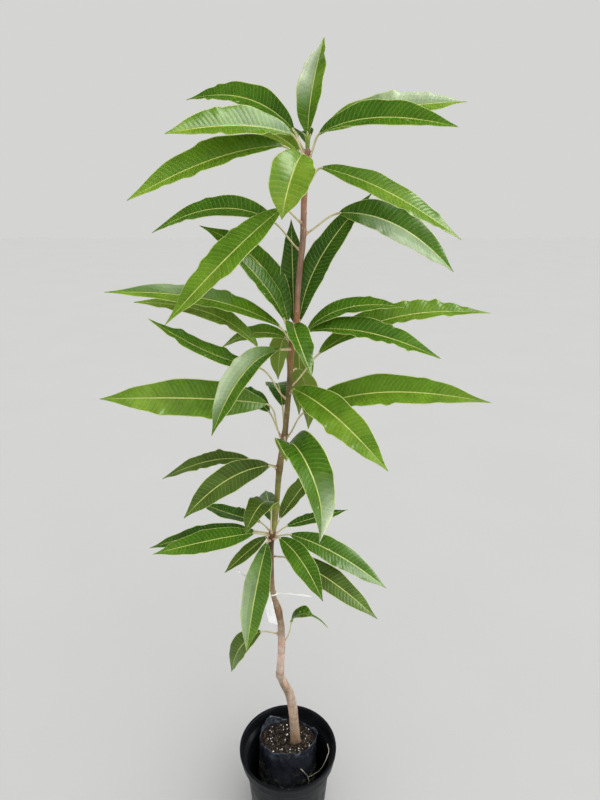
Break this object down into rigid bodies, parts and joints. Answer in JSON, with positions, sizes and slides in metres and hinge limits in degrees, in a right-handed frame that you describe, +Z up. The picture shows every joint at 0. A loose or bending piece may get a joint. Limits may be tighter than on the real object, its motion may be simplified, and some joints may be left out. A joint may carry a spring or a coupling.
{
  "type": "potted mango sapling",
  "caption": "Young grafted mango tree with whorls of long drooping leaves on a slim bent stem, standing in a film nursery bag inside a round plastic pot.",
  "frame": {"origin": "centre of the pot's flat underside, on the surface that the pot stands on", "axes": "+Z up along the stem, +X to the plant's right and -Y towards its front, where the tag's face and the hanging leaves are"},
  "size_m": [0.4897, 0.3147, 1.1685],
  "materials": {
    "pot_plastic": "satin black plastic with fine scuffs",
    "bag_film": "creased black polythene film with soft highlights",
    "potting_mix": "dull dark brown crumbs with white perlite grains",
    "bark": "smooth young bark with small scars",
    "young_leaf": "glossy light green with a pale rib and edge",
    "leaf": "glossy mid green with a pale rib and edge",
    "old_leaf": "satin dark green with a pale rib and edge",
    "tie_wire": "white plastic-coated wire",
    "tag_plastic": "plain white plastic strip"
  },
  "bodies": {
    "root": {"pot": "pot_plastic", "root_bag": "bag_film", "soil": "potting_mix", "trunk": "bark", "foliage_top": "young_leaf", "foliage_upper": "leaf", "foliage_middle": "leaf", "foliage_fork": "leaf", "foliage_pair": "old_leaf", "foliage_lower": "old_leaf", "leaf_base_left": "old_leaf", "leaf_base_right": "old_leaf", "label_tie": "tie_wire", "label": "tag_plastic"}
  },
  "joints": []
}
